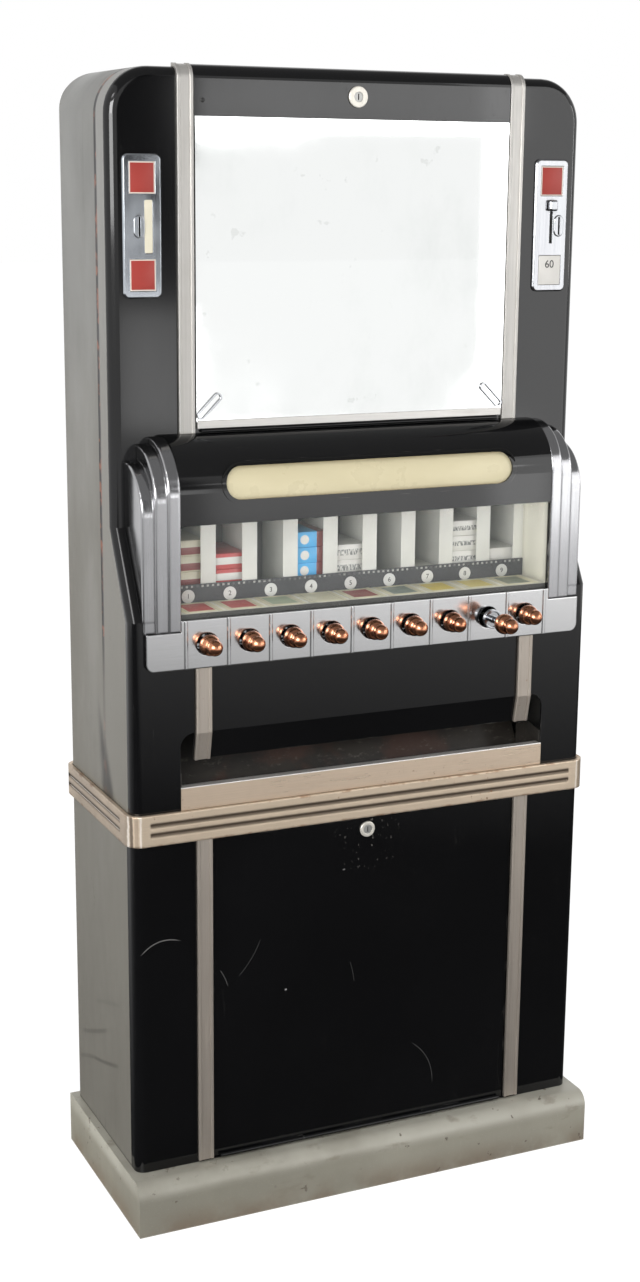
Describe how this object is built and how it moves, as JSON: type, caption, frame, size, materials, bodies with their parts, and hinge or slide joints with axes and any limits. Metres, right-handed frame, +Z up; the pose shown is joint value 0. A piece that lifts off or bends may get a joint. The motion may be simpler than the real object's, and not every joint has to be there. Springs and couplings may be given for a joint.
{
  "type": "floor-standing column vending machine",
  "caption": "Tall steel vending cabinet with a drop-down mirror door, pull-knob pack columns behind glass, coin plates, a delivery tray and a storage base.",
  "frame": {"origin": "middle of the plinth's underside, where it meets the floor", "axes": "+Z up, the front with the knobs faces -Y, +X to the right of someone facing it"},
  "size_m": [0.722, 0.364, 1.581],
  "materials": {
    "black_enamel": "glossy black enamel, lightly scuffed",
    "grey_enamel": "satin warm grey enamel",
    "plinth_enamel": "satin silver-grey enamel, scuffed and rubbed",
    "polished_aluminium": "polished, finely brushed",
    "chrome_plate": "polished chrome plate",
    "copper_plate": "polished copper-coloured plate",
    "bright_steel": "bright zinc-plated steel",
    "inner_steel": "dark grey inner paint",
    "cream_enamel": "cream enamel",
    "tray_black": "black enamel worn by packs",
    "silvered_mirror": "silvered glass",
    "clear_glass": "clear glass",
    "sign_plastic": "translucent cream plastic",
    "printed_card": "plain coloured cards and cartons",
    "white_disc": "white plastic discs with plain numbers"
  },
  "bodies": {
    "cabinet": {"base_plinth": "plinth_enamel", "lower_wrap": "grey_enamel", "lower_front_frame": "black_enamel", "lower_strips": "polished_aluminium", "lower_door_hinge": "bright_steel", "trim_belt": "polished_aluminium", "cabinet_deck": "inner_steel", "upper_wrap": "grey_enamel", "upper_rear_panel": "grey_enamel", "upper_front_shell": "black_enamel", "upper_strips": "polished_aluminium", "delivery_strips": "polished_aluminium", "hood": "black_enamel", "sign_insert": "sign_plastic", "pilasters": "polished_aluminium", "knob_rail": "polished_aluminium", "window_glass": "clear_glass", "window_liner": "cream_enamel", "label_cards": "printed_card", "disc_strip": "inner_steel", "price_discs": "white_disc", "column_dividers": "bright_steel", "magazine_back": "inner_steel", "stocked_packs": "printed_card", "delivery_tray": "tray_black", "tray_lip": "polished_aluminium", "coin_plate_left": "chrome_plate", "coin_plate_right": "chrome_plate", "coin_mechanisms": "bright_steel", "coin_ducts": "bright_steel", "mirror_door_hinge": "bright_steel"},
    "lower_door": {"lower_door": "black_enamel", "lower_lock_barrel": "chrome_plate"},
    "lower_lock": {"lower_lock_plug": "bright_steel"},
    "mirror_door": {"mirror_door": "black_enamel", "mirror_glass": "silvered_mirror", "mirror_trim": "polished_aluminium", "mirror_clips": "chrome_plate", "upper_lock_barrel": "chrome_plate"},
    "upper_lock": {"upper_lock_plug": "bright_steel"},
    "coin_return": {"coin_return_slide": "chrome_plate"},
    "cash_box": {"cash_box": "inner_steel"},
    "pull_1": {"pull_knob_1": "copper_plate", "ejector_slide_1": "bright_steel"},
    "pull_2": {"pull_knob_2": "copper_plate", "ejector_slide_2": "bright_steel"},
    "pull_3": {"pull_knob_3": "copper_plate", "ejector_slide_3": "bright_steel"},
    "pull_4": {"pull_knob_4": "copper_plate", "ejector_slide_4": "bright_steel"},
    "pull_5": {"pull_knob_5": "copper_plate", "ejector_slide_5": "bright_steel"},
    "pull_6": {"pull_knob_6": "copper_plate", "ejector_slide_6": "bright_steel"},
    "pull_7": {"pull_knob_7": "copper_plate", "ejector_slide_7": "bright_steel"},
    "pull_8": {"pull_knob_8": "copper_plate", "ejector_slide_8": "bright_steel"},
    "pull_9": {"pull_knob_9": "copper_plate", "ejector_slide_9": "bright_steel"}
  },
  "joints": [
    {"name": "lower_door_hinge", "type": "hinge", "parent": "cabinet", "child": "lower_door", "pos_m": [0, -0.1233, 0.082], "axis": [1, 0, 0], "range_deg": [0, 88]},
    {"name": "lower_lock_turn", "type": "hinge", "parent": "lower_door", "child": "lower_lock", "pos_m": [0, -0.11, 0.5405], "axis": [0, -1, 0], "range_deg": [0, 90]},
    {"name": "mirror_door_hinge", "type": "hinge", "parent": "cabinet", "child": "mirror_door", "pos_m": [0, -0.06, 1.1093], "axis": [1, 0, 0], "range_deg": [0, 80]},
    {"name": "upper_lock_turn", "type": "hinge", "parent": "mirror_door", "child": "upper_lock", "pos_m": [0, -0.05, 1.544], "axis": [0, -1, 0], "range_deg": [0, 90]},
    {"name": "coin_return_slide", "type": "slide", "parent": "cabinet", "child": "coin_return", "axis": [0, 0, -1], "range_m": [0, 0.048], "stiffness_N_per_m": 60, "springref_m": -0.03},
    {"name": "cash_box_slide", "type": "slide", "parent": "cabinet", "child": "cash_box", "axis": [0, -1, 0], "range_m": [0, 0.038]},
    {"name": "pull_1_slide", "type": "slide", "parent": "cabinet", "child": "pull_1", "axis": [0, -1, 0], "range_m": [0, 0.058]},
    {"name": "pull_2_slide", "type": "slide", "parent": "cabinet", "child": "pull_2", "axis": [0, -1, 0], "range_m": [0, 0.058]},
    {"name": "pull_3_slide", "type": "slide", "parent": "cabinet", "child": "pull_3", "axis": [0, -1, 0], "range_m": [0, 0.058]},
    {"name": "pull_4_slide", "type": "slide", "parent": "cabinet", "child": "pull_4", "axis": [0, -1, 0], "range_m": [0, 0.058]},
    {"name": "pull_5_slide", "type": "slide", "parent": "cabinet", "child": "pull_5", "axis": [0, -1, 0], "range_m": [0, 0.058]},
    {"name": "pull_6_slide", "type": "slide", "parent": "cabinet", "child": "pull_6", "axis": [0, -1, 0], "range_m": [0, 0.058]},
    {"name": "pull_7_slide", "type": "slide", "parent": "cabinet", "child": "pull_7", "axis": [0, -1, 0], "range_m": [0, 0.058]},
    {"name": "pull_8_slide", "type": "slide", "parent": "cabinet", "child": "pull_8", "axis": [0, -1, 0], "range_m": [-0.038, 0.02]},
    {"name": "pull_9_slide", "type": "slide", "parent": "cabinet", "child": "pull_9", "axis": [0, -1, 0], "range_m": [0, 0.058]}
  ]
}
